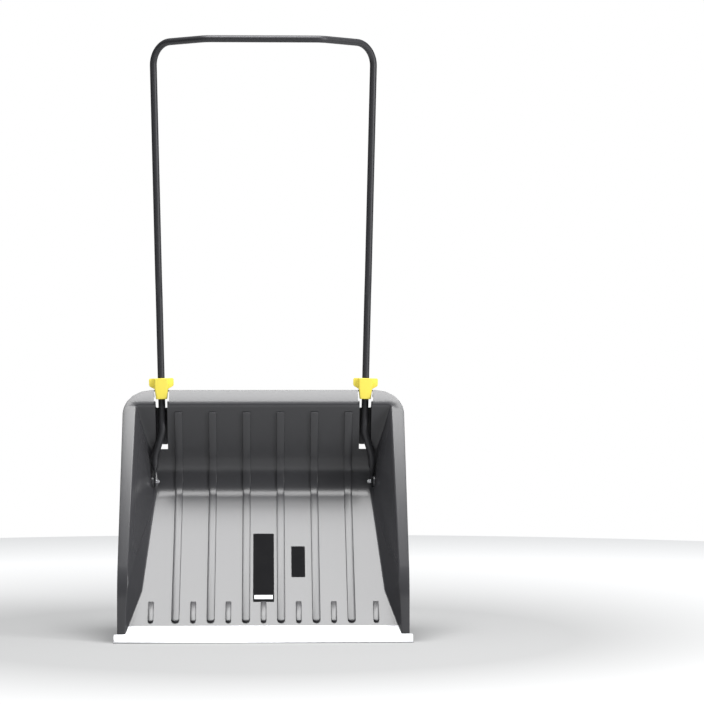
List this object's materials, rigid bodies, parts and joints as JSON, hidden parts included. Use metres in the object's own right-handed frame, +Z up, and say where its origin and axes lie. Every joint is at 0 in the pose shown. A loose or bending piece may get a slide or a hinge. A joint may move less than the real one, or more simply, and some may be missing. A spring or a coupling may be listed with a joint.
{
  "type": "snow pusher shovel",
  "caption": "Wide moulded snow scoop with a metal wear strip, locking collars in its rim and a bent tube handle that folds forward over the scoop.",
  "frame": {"origin": "under the middle of the width and depth, on the ground that the edge of the wear strip stands on", "axes": "+Z up along the handle, -Y towards the open front of the scoop, X across the blade"},
  "size_m": [0.742, 0.3888, 1.528],
  "materials": {
    "moulded_black": "polished moulding, black",
    "strip_metal": "plain rolled strip",
    "rivet_metal": "plain",
    "tube_black": "gloss powder coat, black",
    "collar_yellow": "moulded, yellow",
    "zinc_steel": "zinc plated",
    "label_print": "printed film, dark"
  },
  "bodies": {
    "scoop": {"scoop": "moulded_black", "wear_strip": "strip_metal", "strip_rivets": "rivet_metal", "rivet_washers": "rivet_metal", "pivot_bolt_left": "zinc_steel", "pivot_bolt_right": "zinc_steel", "bolt_washer_left": "zinc_steel", "bolt_washer_right": "zinc_steel", "lock_nut_left": "zinc_steel", "lock_nut_right": "zinc_steel", "long_label": "label_print", "small_label": "label_print"},
    "handle": {"handle_tube": "tube_black"},
    "collar_left": {"collar_left": "collar_yellow"},
    "collar_right": {"collar_right": "collar_yellow"}
  },
  "joints": [
    {"name": "handle_fold", "type": "hinge", "parent": "scoop", "child": "handle", "pos_m": [0, 0.16371, 0.3814], "axis": [1, 0, 0], "range_deg": [0, 130]},
    {"name": "collar_left_slide", "type": "slide", "parent": "handle", "child": "collar_left", "axis": [-0.0244, 0, 0.9997], "range_m": [0, 0.18]},
    {"name": "collar_right_slide", "type": "slide", "parent": "handle", "child": "collar_right", "axis": [0.0244, 0, 0.9997], "range_m": [0, 0.18]}
  ]
}
